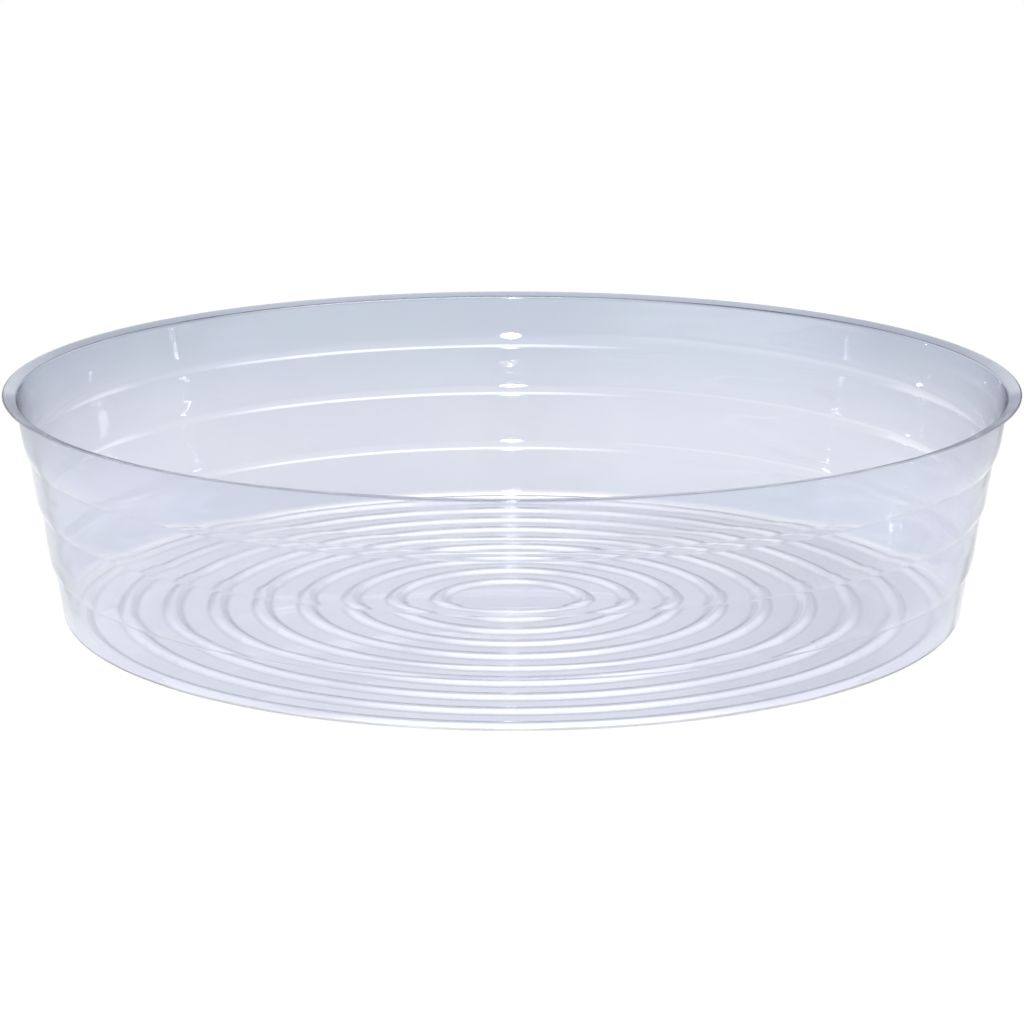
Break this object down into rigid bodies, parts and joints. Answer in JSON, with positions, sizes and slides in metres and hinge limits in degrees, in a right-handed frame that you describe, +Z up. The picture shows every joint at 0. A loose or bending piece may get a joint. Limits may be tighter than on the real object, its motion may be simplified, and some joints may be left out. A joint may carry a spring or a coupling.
{
  "type": "basket liner",
  "caption": "Round, shallow, clear vinyl liner with a flared lip, a stepped and drafted wall and a floor of concentric raised rings, which holds water under a potted plant.",
  "frame": {"origin": "on the bowl's axis, in the plane of the under side of the floor, where the liner rests", "axes": "+Z up along the bowl's axis; +X and +Y across it, with no preferred direction about the axis"},
  "size_m": [0.3048, 0.3048, 0.0688],
  "materials": {
    "clear_vinyl": "clear and glossy, with a faint cool tint that is deepest at the lip"
  },
  "bodies": {
    "root": {"liner_shell": "clear_vinyl"}
  },
  "joints": []
}
